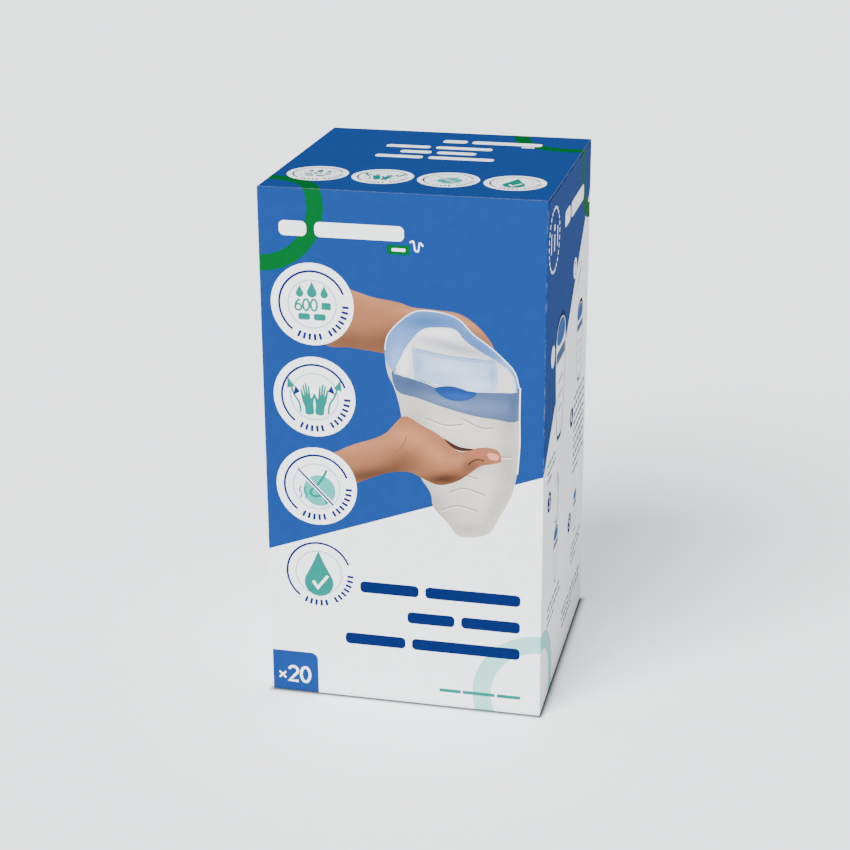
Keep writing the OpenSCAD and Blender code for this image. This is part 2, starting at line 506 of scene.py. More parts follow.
def raw_board():
    """The unprinted side: grey-white recycled fibre with darker flecks."""
    material, tree, shader = new_material("raw_board", Specular_IOR_Level=0.2)
    cloud = spread(tree, noise(tree, 90, 4), 0.3, 0.7)
    flecks = spread(tree, noise(tree, 1300, 3, (1, 1, 0.4)), 0.62, 0.72)
    base = mix(tree, cloud, (0.60, 0.575, 0.53), (0.69, 0.665, 0.62))
    feed(tree, shader, mix(tree, flecks, base, (0.44, 0.41, 0.37)), spread(tree, cloud, 0, 1, 0.82, 0.94))
    bump(tree, shader, noise(tree, 1700, 5, (1, 1, 0.5)), 0.25, 0.0002)
    return material


def film(name, tone, deep):
    """Soft polyethylene film: milky, crinkled and half glossy."""
    material, tree, shader = new_material(name, Specular_IOR_Level=0.45, IOR=1.5,
                                          Subsurface_Weight=0.15, Subsurface_Scale=0.002)
    cloud = spread(tree, noise(tree, 60, 5, (1, 1, 0.5)), 0.35, 0.68)
    feed(tree, shader, mix(tree, cloud, deep, tone),
         spread(tree, noise(tree, 300, 3), 0.3, 0.7, 0.28, 0.46))
    bump(tree, shader, noise(tree, 240, 6, (1, 1, 0.45)), 0.35, 0.0006)
    return material


def pad_cloth():
    """Embossed non-woven: soft fibres pressed down at scattered points."""
    material, tree, shader = new_material("pad_cloth", Sheen_Weight=0.35, Sheen_Roughness=0.5,
                                          Specular_IOR_Level=0.15)
    place = node(tree, "ShaderNodeTexCoord").outputs["Object"]
    dots = node(tree, "ShaderNodeTexVoronoi", {"Vector": place, "Scale": 420.0}).outputs["Distance"]
    fibres = noise(tree, 1400, 6, (1, 1, 0.3))
    feed(tree, shader, mix(tree, spread(tree, fibres, 0.3, 0.7), (0.55, 0.68, 0.80), (0.70, 0.80, 0.88)),
         spread(tree, fibres, 0.3, 0.7, 0.85, 0.97))
    height = node(tree, "ShaderNodeMath", {0: spread(tree, dots, 0.0, 0.6), 1: fibres},
                  operation="ADD").outputs[0]
    bump(tree, shader, height, 0.4, 0.0004)
    return material


def studio_floor():
    """A white floor with a little glow, and a painted contact shadow: colour and glow fall off close to the
    carton's foot.
    """
    material, tree, shader = new_material("studio_floor", Specular_IOR_Level=0.0, Roughness=0.9,
                                          Emission_Color=(0.93, 0.965, 1.0, 1))
    away = node(tree, "ShaderNodeTexCoord").outputs["Object"]
    footprint = (HALF_W * MM, HALF_D * MM, 1)
    for step, other in (("ABSOLUTE", None), ("SUBTRACT", footprint), ("MAXIMUM", (0, 0, 0))):
        inputs = {0: away} if other is None else {0: away, 1: other}
        away = node(tree, "ShaderNodeVectorMath", inputs, operation=step).outputs[0]
    away = node(tree, "ShaderNodeVectorMath", {0: away}, operation="LENGTH").outputs["Value"]
    # painted contact shadow: dark grey colour within about 2 mm of the carton's foot, the glow fading out
    # within 4 mm
    tree.links.new(mix(tree, spread(tree, away, 0.0, 0.0022), (0.16, 0.17, 0.18), (0.888, 0.908, 0.933)),
                   shader.inputs["Base Color"])
    tree.links.new(spread(tree, away, 0.0, 0.004, 0.0, 0.75), shader.inputs["Emission Strength"])
    return material


PRINTED = printed_board()
RAW = raw_board()
WHITE_FILM = film("white_film", (0.80, 0.80, 0.785), (0.71, 0.715, 0.705))
BLUE_FILM = film("blue_film", (0.30, 0.46, 0.70), (0.23, 0.38, 0.63))
PAD = pad_cloth()

# ---- the printed picture and icons ----

SLANT_LEFT = 71.0      # height of the blue field's slanted edge at the front's left
SLANT_RIGHT = 117.5    # and at its right, where the side panel's slant starts
SLANT_BACK = 218.0     # the side panel's slant at its back edge
SLANT_CORNER = 165.0   # the slant where the back and left panels meet
RING_DROP = 8.0        # a panel's green ring has its centre this far below the top
RING_INNER, RING_OUTER = 22.0, 29.3
FOOT_RING_RISE = 9.0   # the pale ring's centre over the foot
FOOT_RING_INNER, FOOT_RING_OUTER = 22.8, 31.2
DISC = 18.6            # radius of an icon's white disc
ICON_U = 23.4
ICON_VS = (189.0, 146.5, 104.0, 61.5)
PICTURE_RISE = 7.5     # moves the picture of the hands and the bag up as one
SKIN = rgb(144, 94, 66)
SKIN_LIGHT = rgb(182, 122, 88)
SKIN_SHADE = rgb(66, 44, 34)
SKIN_DEEP = rgb(38, 26, 18)
FILM_PALE = rgb(96, 130, 180)
FILM_BLUE = rgb(50, 86, 146)
FILM_SMOKE = rgb(70, 88, 122)
LINER = rgb(206, 206, 208)
LINER_SHADE = rgb(138, 140, 150)
PAD_TONE = rgb(150, 178, 212)
BODY_TONE = rgb(190, 184, 172)
BODY_SHADE = rgb(122, 116, 106)
BODY_LIGHT = rgb(220, 215, 205)


def upper_arm(art):
    arm = smooth([(28, 188), (36, 190), (43, 188.5), (50, 186.5), (57, 185.5), (63, 184.5), (68, 183),
                  (78, 182.5), (88, 181.5), (95, 177.5), (100, 172.5), (103.5, 166.5), (100, 164),
                  (92, 167), (80, 166), (66, 164), (58, 161.5), (50, 162), (40, 163), (28, 165)])
    art.add(arm, shaded(SKIN, [
        (46, 188, 18, 5, -20, SKIN_LIGHT, 0.45), (40, 165, 24, 6, -4, SKIN_SHADE, 0.6),
        (60, 168, 10, 6, 10, SKIN_SHADE, 0.55), (70, 181, 9, 2.2, -5, SKIN_LIGHT, 0.7),
        (90, 178, 10, 2.5, -25, SKIN_LIGHT, 0.6), (97, 170, 5, 3, -40, SKIN_SHADE, 0.25)]))
    for u, v in ((86, 177.5), (92.5, 174), (98, 169)):
        art.add(stroke([(u, v), (u + 3.2, v - 2.4), (u + 5, v - 5.2)], 0.5), rgb(118, 72, 52))
    art.soften(29, 162, 104, 191, 1.7)


def printed_bag(art):
    """The opened bag that the two hands hold."""
    mouth = [(55.5, 163), (57, 170), (63, 177), (70, 181.5), (80, 181.5), (88, 179), (94, 173),
             (101, 168), (107, 163), (112.5, 157), (114.5, 150)]
    outline = smooth(mouth + [(114.6, 137), (115, 124), (114, 110), (111.5, 99), (106, 88), (102.5, 81.5),
                              (96, 78.5), (88, 78.5), (83.5, 84), (77, 91), (75.5, 98), (71, 105),
                              (67, 113), (64, 124), (62, 137), (59.5, 146), (56.5, 153)], 4)
    art.add(outline, shaded(BODY_TONE, [
        (110, 120, 5, 30, 0, BODY_SHADE, 0.45), (78, 92, 4, 14, 30, BODY_SHADE, 0.5),
        (92, 128, 16, 7, -8, BODY_LIGHT, 0.7), (98, 100, 9, 12, 10, BODY_LIGHT, 0.6),
        (88, 110, 9, 3, 12, BODY_SHADE, 0.55), (104, 93, 3, 12, -25, BODY_SHADE, 0.4),
        (92, 82, 8, 3, 0, BODY_SHADE, 0.35), (70, 130, 5, 9, 20, BODY_SHADE, 0.35)]))
    creases = (((80, 106), (88, 108), (97, 106.5)), ((84, 99), (91, 101.5), (100, 99)),
               ((80, 90), (88, 93), (97, 91)), ((100, 122), (106, 118), (112, 118)),
               ((74, 133), (82, 130.5), (90, 131.5)), ((90, 134), (98, 130.5), (104, 131)))
    for crease in creases:
        art.add(curve(crease, 0.55), rgb(140, 133, 122))
        art.add(curve([(u, v - 0.75) for u, v in crease], 0.5), BODY_LIGHT)
    ring_film = smooth(mouth + [(114.5, 145), (104, 147), (88, 147), (75, 150), (66, 151.5), (59, 154),
                                (56, 158)], 4)
    art.add(ring_film, shaded(FILM_PALE, [
        (74, 177, 14, 4, 0, FILM_BLUE, 0.75), (96, 168, 12, 3, -33, FILM_BLUE, 0.6),
        (60, 160, 3, 8, -20, rgb(130, 162, 208), 0.7), (108, 158, 4, 5, -40, rgb(140, 166, 204), 0.8)]))
    liner = smooth([(60.5, 153.5), (63, 161), (66, 166.5), (71, 172.5), (76, 174.5), (86, 174.5),
                    (91, 169.5), (98, 165), (105, 161), (112, 155), (112.5, 146.5), (104, 147),
                    (93, 147), (84, 147.5), (70, 150)], 4)
    art.add(liner, shaded(LINER, [
        (78, 172, 12, 2.5, 0, rgb(240, 240, 242), 0.9), (88, 166, 16, 2.2, -12, LINER_SHADE, 0.8),
        (64, 158, 2, 7, -10, rgb(244, 245, 248), 0.8), (110, 152, 2.2, 6, 0, rgb(214, 206, 200), 0.8),
        (102, 160, 9, 2, -25, rgb(206, 200, 198), 0.6)]))
    pad = smooth([(67.5, 164.5), (69, 165), (85, 162.5), (103, 161.8), (104.5, 161), (104.5, 148),
                  (94, 147.5), (82, 148.5), (69, 151), (68.3, 152)], 3)
    art.add(pad, shaded(PAD_TONE, [
        (86, 157, 16, 4, -6, rgb(186, 206, 234), 0.9), (96, 150, 12, 2.5, 0, rgb(196, 214, 236), 0.8),
        (70, 158, 2, 6, 0, rgb(112, 138, 178), 0.6), (103, 155, 1.8, 6, 0, rgb(110, 136, 176), 0.6)]))
    for v, width in ((162.8, 0.35), (161.9, 0.25)):
        art.add(stroke([(69.5, v + 1.3), (85, v - 0.9), (103.5, v - 1.8)], width), rgb(104, 128, 168))
    cuff = smooth([(58.5, 153.5), (63, 151.5), (72, 150.5), (80, 147.5), (92, 147), (104, 147.2),
                   (112.5, 147.6), (114.6, 150), (114.6, 135.2), (104, 134.8), (94, 135.8), (82, 138.5),
                   (70, 142), (60.8, 144.5)], 4)
    art.add(cuff, shaded(FILM_SMOKE, [
        (100, 140, 14, 4, 0, rgb(92, 112, 146), 0.8), (66, 148, 8, 3, -12, rgb(56, 72, 106), 0.7),
        (84, 141, 12, 2.2, -12, rgb(104, 124, 158), 0.7), (112, 141, 2.5, 6, 0, rgb(58, 76, 110), 0.6)]))
    art.add(curve([(59.5, 152.8), (72, 149.8), (80, 147.2), (92, 146.8), (104, 147.2), (113.8, 148.2)],
                  0.45), rgb(190, 208, 232))
    lens = smooth([(77.5, 146.8), (82, 148.4), (87, 148.3), (92, 147), (96.2, 146.3), (93, 143.2),
                   (87, 142), (81.5, 143.2)], 4)
    art.add(lens, shaded(rgb(28, 58, 122), [(88, 144, 8, 1.5, 0, rgb(44, 82, 150), 0.7)]))
    art.add(curve(mouth, 0.5), rgb(216, 228, 242))
    art.add(curve([(115, 150), (114.9, 137), (115.1, 124), (114.2, 110)], 0.6), rgb(240, 242, 244))
    art.soften(56, 78, 115, 181, 1.7)


def lower_arm(art):
    arm = smooth([(28, 110), (34, 114.5), (42, 118.5), (50, 121.5), (56, 125), (61.5, 131.5),
                  (65, 133.2), (71, 130), (78, 126.5), (84, 122.2), (87.5, 119), (91, 118.8), (97, 121),
                  (103, 121.3), (106.3, 119.5), (107, 115.5), (103.5, 114), (98, 112.5), (93, 108.5),
                  (87, 104.2), (79.5, 102), (73, 104), (66, 107), (57, 106), (48, 102.5), (38, 98),
                  (28, 96)], 4)
    art.add(arm, shaded(SKIN, [
        (44, 118, 16, 4, 12, SKIN_LIGHT, 0.5), (66, 124, 9, 5, -10, SKIN_LIGHT, 0.75),
        (78, 116, 8, 5, -30, SKIN_LIGHT, 0.6), (48, 104, 20, 4, 14, SKIN_SHADE, 0.85),
        (62, 111, 5, 9, -60, SKIN_SHADE, 0.5), (82, 105, 12, 3.2, 8, SKIN_DEEP, 0.85),
        (93, 112, 7, 3, 30, SKIN_SHADE, 0.6), (98, 118, 6, 2.2, 4, rgb(164, 94, 74), 0.7),
        (88, 114, 3, 4, 0, SKIN_LIGHT, 0.35)]))
    art.add(smooth([(81.5, 124.2), (85.5, 120.2), (90, 118.9), (95, 120.2), (90, 120.6), (86.5, 121.6)], 4),
            rgb(58, 36, 30))
    art.add(curve([(99.5, 115.2), (97, 115.6), (94.5, 114.6), (92.5, 112.8)], 0.45), SKIN_DEEP)
    art.add(smooth([(101, 118.6), (104, 119), (106, 117.8), (105.4, 115.9), (102, 116.2)], 4),
            rgb(204, 136, 114))
    art.add(curve([(60, 116), (63, 119), (65, 124)], 0.4), rgb(124, 78, 58))
    art.soften(29, 97, 107, 133, 1.7)


def icon_frame(art, cu, cv, with_disc):
    if with_disc:
        art.add(disc(cu, cv, DISC), WHITE)
    art.add(band(cu, cv, DISC * 0.77, DISC * 0.825, 20, 175), INK)
    art.add(band(cu, cv, DISC * 0.77, DISC * 0.825, 175, 232), INK)
    art.add(ring(cu, cv, DISC * 0.565, DISC * 0.595), GREY)
    for k in range(13):
        if k == 5:
            continue
        angle = math.radians(246 + k * 9.3)
        mark = bar(-0.6, -1.5, 0.6, 1.5, 0.35)
        art.add(moved(mark, cu + DISC * 0.8 * math.cos(angle), cv + DISC * 0.8 * math.sin(angle),
                      math.degrees(angle) + 90), INK)


def icon_drops(art, cu, cv):
    for shift, rise, size in ((-5.5, 4.7, 1.7), (0, 5.2, 2.2), (5.5, 4.7, 1.7)):
        art.add(drop(cu + shift, cv + rise, size), TEAL)
    for k, mark in enumerate("600"):
        art.add(numeral(mark, cu - 6.2 + k * 3.5, cv - 0.4, 5.0, 0.9), TEAL)
    art.add(bar(cu + 4.2, cv - 2.2, cu + 8.4, cv + 1.0, 0.4), TEAL)
    art.add(words(cu - 6.4, cv - 7.2, (5.4, 5.4), 3.0, 1.6), TEAL)


HAND = [(0.5, -7.5), (0.2, -3.0), (-1.0, 0.8), (-0.6, 1.8), (0.9, -0.4), (1.0, 5.2), (1.7, 5.3),
        (2.0, 1.2), (2.2, 6.4), (2.95, 6.5), (3.0, 1.4), (3.4, 5.9), (4.1, 5.8), (3.9, 1.0), (4.7, 4.3),
        (5.3, 4.0), (4.9, -1.6), (4.2, -4.2), (4.1, -7.5)]


def icon_hands(art, cu, cv):
    for flip in (-1, 1):
        art.add(moved(smooth(HAND, 3), cu + flip * 0.7, cv - 0.4, -6 * flip, 1.0, flip), TEAL)
        shaft = smooth([(6.3, -7.6), (6.9, -3.2), (9.2, 0.6), (10.6, 4.8)], 4, False)
        art.add(moved(stroke(shaft, 0.85), cu, cv, 0, 1, flip), TEAL)
        art.add(moved([(8.8, 4.3), (12.4, 3.4), (12.0, 8.6)], cu, cv, 0, 1, flip), TEAL)
        art.add(moved([(6.4, 2.4), (9.6, 0.9), (8.2, 5.4)], cu, cv, 4, 1, flip), INK)


def icon_nose(art, cu, cv):
    """A plain side view of a nose over a disc, struck through."""
    art.add(disc(cu + 1.2, cv - 2.0, 7.4), rgb(62, 168, 158))
    nose = smooth([(3.6, 8.2), (1.8, 4.4), (-0.8, 0.8), (-3.6, -1.8), (-4.0, -3.8), (-2.2, -4.8),
                   (0.6, -4.4), (2.6, -5.4), (3.2, -8.2)], 4, False)
    art.add(moved(stroke(nose, 1.1), cu + 1.2, cv), TEAL)
    art.add(moved(curve([(1.0, -1.2), (-0.6, -2.0), (-0.8, -3.2)], 0.8, 3), cu + 1.2, cv), TEAL)
    for shift in (0, 2.3):
        wave = [(u - shift, v) for u, v in ((-7.0, -6.2), (-6.0, -4.2), (-7.2, -2.4), (-6.2, -0.4))]
        art.add(moved(curve(wave, 0.6), cu + 1.4, cv), TEAL)
    art.add(stroke([(cu - 8.6, cv + 8.0), (cu + 7.6, cv - 8.6)], 1.9), WHITE)
    art.add(stroke([(cu - 8.6, cv + 8.0), (cu + 7.6, cv - 8.6)], 0.85), INK)


def icon_check(art, cu, cv):
    art.add(drop(cu, cv - 4.8, 6.8), TEAL)
    art.add(stroke([(cu - 2.8, cv - 4.2), (cu - 0.6, cv - 7.4), (cu + 4.2, cv - 1.2)], 1.35), WHITE)


ICONS = (icon_drops, icon_hands, icon_nose, icon_check)


def icon_small(art, cu, cv, scale, kind):
    """One of the four icons at a smaller scale."""
    whole = Art(WHITE)
    icon_frame(whole, 0, 0, True)
    ICONS[kind](whole, 0, 0)
    art.place(whole, cu, cv, scale)


def title_lines(art, u, v, colour, scale=1.0):
    """Three right-aligned lines of two soft bars each, in place of lettering."""
    for k, lengths in enumerate(((43.5, 27.2), (27, 21.8), (49.8, 28.2))):
        scaled = [n * scale for n in lengths]
        art.add(words(u, v - k * 13.2 * scale, scaled, 5.6 * scale, 3.0 * scale, True), colour)


def blue_field(art, width, low_left, low_right):
    """The blue above a slanted edge that runs on from panel to panel."""
    art.add([(-1, low_left), (width + 1, low_right), (width + 1, HEIGHT + 1), (-1, HEIGHT + 1)], BLUE)


def green_ring(art, u, v):
    art.add(ring(u, v, RING_INNER, RING_OUTER), GREEN)


def foot_ring(art, u):
    art.add(ring(u, FOOT_RING_RISE, FOOT_RING_INNER, FOOT_RING_OUTER), PALE_TEAL)


def front_art():
    art = Art(WHITE)
    blue_field(art, WIDTH, SLANT_LEFT, SLANT_RIGHT)
    green_ring(art, 0, HEIGHT - RING_DROP)
    foot_ring(art, WIDTH)
    art.add(words(9.4, 219.2, (12.2, 39.2), 6.6, 3.6), WHITE)
    art.add(bar(57, 213.4, 66.8, 217.6, 0.5), GREEN)
    art.add(bar(59, 214.8, 65, 216.2, 0.5), WHITE)
    squiggle = [(66.9, 219), (68.5, 219.6), (69.1, 216), (70.5, 215.4), (71.3, 219), (72.7, 217.6)]
    art.add(curve(squiggle, 0.7), WHITE)
    picture = Art(WHITE)
    upper_arm(picture)
    printed_bag(picture)
    lower_arm(picture)
    art.place(picture, 0, PICTURE_RISE)
    for k, cv in enumerate(ICON_VS):
        icon_frame(art, ICON_U, cv, k < 3)
        ICONS[k](art, ICON_U, cv)
    title_lines(art, 116.4, 53.8, NAVY)
    art.add(words(117, 7.4, (11, 15, 10), 1.7, 0.8, True), TEAL)
    art.add(bar(-6, -6, 22, 20.5, 3.4), BLUE)
    art.add(numeral("x", 4.8, 8.2, 5.6, 0.85), WHITE)
    art.add(numeral("2", 10.0, 8.8, 7.4, 1.3), WHITE)
    art.add(numeral("0", 15.8, 8.8, 7.4, 1.3), WHITE)
    return art


def small_print(art, u, v, width, rows, colour, seed, pitch=3.4):
    """Rows of short dashes in place of a paragraph."""
    draw = random.Random(seed)
    for row in range(rows):
        end = u + width * (1 if row < rows - 1 else 0.55)
        at = u
        while at < end - 1.2:
            length = min(draw.uniform(2.2, 7.0), end - at)
            art.add(bar(at, v - row * pitch, at + length, v - row * pitch + 1.5, 0.5), colour)
            at += length + 1.1


def step_mark(art, mark, u, v, ground, colour):
    art.add(disc(u, v, 5.0), ground)
    art.add(numeral(mark, u, v, 5.4, 0.95), colour)


def small_bag(art, u, v, size, line):
    """A flat bag with its open mouth, in outline."""
    shape = smooth([(-7, 9), (-5, 13), (0, 14.5), (5, 13), (7, 9), (6.6, -2), (3.6, -14), (0, -15.5),
                    (-3.6, -14), (-6.6, -2)], 4)
    art.add(moved(shape, u, v, 0, size), line)
    art.add(moved(shape, u, v - 0.1 * size, 0, size * 0.92), WHITE)
    mouth = smooth([(-5.8, 9.2), (-4, 12), (0, 13), (4, 12), (5.8, 9.2), (3, 7.4), (-3, 7.4)], 4)
    art.add(moved(mouth, u, v, 0, size), FILM_BLUE)
    art.add(moved(bar(-5.9, 3.6, 5.9, 6.2, 0.5), u, v, 0, size), FILM_SMOKE)
    for k in range(3):
        fold = stroke([(-3.6 + 0.5 * k, -1.5 - 3.4 * k), (3.6 - 0.5 * k, -1.0 - 3.4 * k)], 0.4)
        art.add(moved(fold, u, v, 0, size), line)


def info_mark(art, u, v, colour):
    """A dashed circle with a plain information mark."""
    for k in range(26):
        start = k * 360 / 26
        art.add(band(u, v, 13.2, 14.6, start, start + 8.6), colour)
    art.add(bar(u - 1.1, v - 5, u + 1.1, v + 2.6, 0.8), colour)
    art.add(disc(u, v + 5.4, 1.5), colour)
    for side in (-1, 1):
        art.add(bar(u + side * 8.0 - 0.8, v - 4.5, u + side * 8.0 + 0.8, v + 4.5, 0.6), colour)


def hand_outline(art, u, v, size, line):
    art.add(moved(smooth(HAND, 3), u, v, 0, size), line)
    art.add(moved(smooth(HAND, 3), u, v - 0.25 * size, 0, size * 0.86), WHITE)


def side_art():
    """The right panel: five plain steps of use down two columns."""
    art = Art(WHITE)
    blue_field(art, DEPTH, SLANT_RIGHT, SLANT_BACK)
    green_ring(art, DEPTH, HEIGHT - RING_DROP)
    foot_ring(art, 0)
    info_mark(art, 17, 219, WHITE)
    art.add(words(46, 216.5, (15, 38), 7.4, 3.0), WHITE)
    step_mark(art, "1", 19, 166, WHITE, NAVY)
    small_bag(art, 41, 151, 2.0, NAVY)
    small_print(art, 10, 117, 22, 3, TEAL, 3, 3.8)
    step_mark(art, "2", 80, 189, WHITE, NAVY)
    small_bag(art, 99, 149, 1.35, NAVY)
    for k in range(4):
        art.add(stroke([(88 + 3 * k, 176 + 2 * k), (91 + 3 * k, 181 + 2 * k)], 0.8), NAVY)
    step_mark(art, "3", 16, 99, NAVY, WHITE)
    hand_outline(art, 34, 93, 1.7, NAVY)
    small_bag(art, 37, 65, 0.95, TEAL)
    small_print(art, 16, 44, 36, 3, NAVY, 5, 3.8)
    step_mark(art, "4", 79, 116, NAVY, WHITE)
    small_print(art, 86, 122, 32, 10, NAVY, 6, 4.2)
    step_mark(art, "5", 79, 62, NAVY, WHITE)
    small_bag(art, 96, 62, 0.72, NAVY)
    small_print(art, 86, 44, 30, 3, TEAL, 8, 3.8)
    small_print(art, 60, 22, 56, 3, NAVY, 9, 3.8)
    return art


def back_art():
    """The back panel, which is a guess: three columns of small print and a block of upright bars."""
    art = Art(WHITE)
    blue_field(art, WIDTH, SLANT_BACK, SLANT_CORNER)
    green_ring(art, 0, HEIGHT - RING_DROP)
    art.add(words(58, 213, (17, 38), 7.4, 3.0), WHITE)
    title_lines(art, 118, 202, WHITE, 0.42)
    for k, u in enumerate((10, 48, 86)):
        art.add(words(u, 148, (16, 10), 3.4, 1.6), NAVY)
        small_print(art, u, 141, 31, 15, NAVY, 20 + k)
        art.add(words(u, 84, (12, 12), 3.0, 1.4), TEAL)
        small_print(art, u, 78, 31, 8, NAVY, 30 + k)
    for k in range(4):
        icon_small(art, 18 + k * 20, 36, 0.46, k)
    draw = random.Random(5)
    at = 92.0
    while at < 118:
        width = draw.choice((0.45, 0.45, 0.8, 1.2))
        art.add([(at, 14), (at + width, 14), (at + width, 30), (at, 30)], INK)
        at += width + draw.choice((0.5, 0.8, 1.1))
    small_print(art, 10, 18, 66, 3, NAVY, 40, 3.0)
    return art


def left_art():
    """The left panel, which is a guess, in the style of the others."""
    art = Art(WHITE)
    blue_field(art, DEPTH, SLANT_CORNER, SLANT_LEFT)
    green_ring(art, DEPTH, HEIGHT - RING_DROP)
    art.add(words(14, 216, (17, 38), 7.4, 3.0), WHITE)
    title_lines(art, 72, 201, WHITE, 0.55)
    small_bag(art, 92, 122, 1.5, NAVY)
    small_print(art, 78, 190, 38, 4, WHITE, 50)
    for k in range(3):
        art.add(disc(16, 104 - k * 24, 3.2), TEAL)
        small_print(art, 23, 106 - k * 24, 40, 4, NAVY, 60 + k)
    small_print(art, 12, 20, 90, 3, NAVY, 70, 3.0)
    return art


def lid_art():
    art = Art(BLUE)
    green_ring(art, 0, -RING_DROP)
    green_ring(art, WIDTH - 7, DEPTH - 2)
    for k in range(4):
        icon_small(art, 19.1 + k * 29.2, 28.5, 13.6 / DISC, k)
    for u, v, lengths in ((84.8, 87.5, (26.4, 20.8)), (79.2, 77, (18, 14.4)), (89.5, 66.5, (30, 22))):
        art.add(words(u, v, lengths, 5.2, 2.8, True), WHITE)
    art.add(words(58.8, 101, (11.5, 33), 6.0, 2.4), WHITE)
    art.add(bar(97, 97.4, 103, 99.8, 0.4), WHITE)
    return art


# ---- the carton's panels ----

X, Y, Z = np.eye(3)
LEAN = np.array([0, -math.sin(TUCK_LEAN), math.cos(TUCK_LEAN)])
LID_FRONT = CREASE_Y + HALF_D

front = Panel((-HALF_W, -HALF_D, 0), X, Z,
              [(0, 1, 0, SQUARE_FOLD), (0, -1, WIDTH, SQUARE_FOLD), (1, 1, 0, SQUARE_FOLD)], front_art())
right = Panel((HALF_W, -HALF_D, 0), Y, Z,
              [(0, 1, 0, SQUARE_FOLD), (0, -1, DEPTH, SQUARE_FOLD), (1, 1, BOARD, SQUARE_FOLD),
               (1, -1, SIDE_TOP, SQUARE_FOLD)], side_art())
back = Panel((HALF_W, HALF_D, 0), -X, Z,
             [(0, 1, 0, SQUARE_FOLD), (1, 1, 0, SQUARE_FOLD), (1, -1, HEIGHT, SQUARE_FOLD)], back_art())
left = Panel((-HALF_W, HALF_D, 0), -Y, Z,
             [(0, 1, BOARD, SQUARE_FOLD), (0, -1, DEPTH, SQUARE_FOLD), (1, 1, BOARD, SQUARE_FOLD),
              (1, -1, SIDE_TOP, SQUARE_FOLD)], left_art())
lid = Panel((-HALF_W, -HALF_D, HEIGHT), X, Y,
            [(1, 1, LID_FRONT, TUCK_FOLD), (1, -1, DEPTH, SQUARE_FOLD)], lid_art())
tuck = Panel((-HALF_W, CREASE_Y, HEIGHT), X, LEAN, [(1, -1, 0, TUCK_FOLD)], Art(BLUE))


def rect(u0, v0, u1, v1):
    return [(u0, v0), (u1, v0), (u1, v1), (u0, v1)]


def dust_art():
    """A dust flap's outer side: white, with blue carried over its crease."""
    art = Art(WHITE)
    art.add(rect(-1, -HALF_D, 4, HALF_D), BLUE)
    return art


dust_right = Panel((HALF_W, 0, SIDE_TOP), -X, -Y, [(0, 1, 0, SQUARE_FOLD)], dust_art())
dust_left = Panel((-HALF_W, 0, SIDE_TOP), X, Y, [(0, 1, 0, SQUARE_FOLD)], dust_art())
bottom_front = Panel((-HALF_W, -HALF_D, 0), X, -Y, [(1, -1, 0, SQUARE_FOLD)], Art(WHITE))
bottom_back = Panel((HALF_W, HALF_D, 0), -X, Y, [(1, -1, 0, SQUARE_FOLD)], Art(WHITE))
bottom_right = Panel((HALF_W, 0, BOARD), -X, Y, [(0, 1, 0, SQUARE_FOLD)], Art(WHITE))
bottom_left = Panel((-HALF_W, 0, BOARD), X, -Y, [(0, 1, 0, SQUARE_FOLD)], Art(WHITE))
glue = Panel((-HALF_W, HALF_D - BOARD, 0), X, -Z, [(0, 1, 0, SQUARE_FOLD)], Art(WHITE))

dust_low, dust_high = box_mm("dust_flap_right")
DUST_FRONT, DUST_BACK, DUST_REACH = dust_low[1], dust_high[1], HALF_W - dust_low[0]
DUST_TAPER = 16 / 27 * STRIP
MINOR_REACH = HALF_W - box_mm("bottom_flap_right")[0][0]
GLUE_LOW, GLUE_HIGH = box_mm("glue_flap")
GAP = 0.3
TONGUE_HALF, TONGUE_REACH = 26.0, 14.0


def dust_outline(flip):
    """A dust flap, less the strip along its crease; flip is -1 where v runs to the front."""
    shape = [(STRIP, DUST_FRONT + 6), (3, DUST_FRONT + 6), (6, DUST_FRONT),
             (DUST_REACH - 6, DUST_FRONT + 2), (DUST_REACH, DUST_FRONT + 8), (DUST_REACH, DUST_BACK - 30),
             (27, DUST_BACK - 16), (STRIP, DUST_BACK - DUST_TAPER)]
    return [(u, flip * v) for u, v in shape]


def dust_strip(flip):
    """The strip along a dust flap's crease."""
    shape = [(0, DUST_FRONT + 6), (STRIP, DUST_FRONT + 6), (STRIP, DUST_BACK - DUST_TAPER), (0, DUST_BACK)]
    return [(u, flip * v) for u, v in shape]


def side_outline(crease_from, crease_to, start):
    """A side panel, less the strip along its dust flap's crease."""
    low = SIDE_TOP - STRIP
    return [(start, BOARD), (DEPTH, BOARD), (DEPTH, SIDE_TOP), (crease_to, SIDE_TOP), (crease_to, low),
            (crease_from, low), (crease_from, SIDE_TOP), (start, SIDE_TOP)]


def tuck_outline():
    low, r = -TUCK_LENGTH, TUCK_CORNER
    left_u, right_u = TUCK_MARGIN, WIDTH - TUCK_MARGIN
    return ([(left_u, -STRIP)] + arc(left_u + r, low + r, r, 180, 270)
            + arc(right_u - r, low + r, r, 270, 360) + [(right_u, -STRIP)])


def tongue(side, grow):
    """The bottom's locking edge, from one side of the carton to the other, as (u, v)."""
    half, reach = TONGUE_HALF + grow, TONGUE_REACH + grow
    edge = [(-HALF_W + GAP, grow), (-half - 6, grow), (-half, reach), (half, reach), (half + 6, grow),
            (HALF_W - GAP, grow)]
    return [(HALF_W + u, -HALF_D - v * side) for u, v in edge]


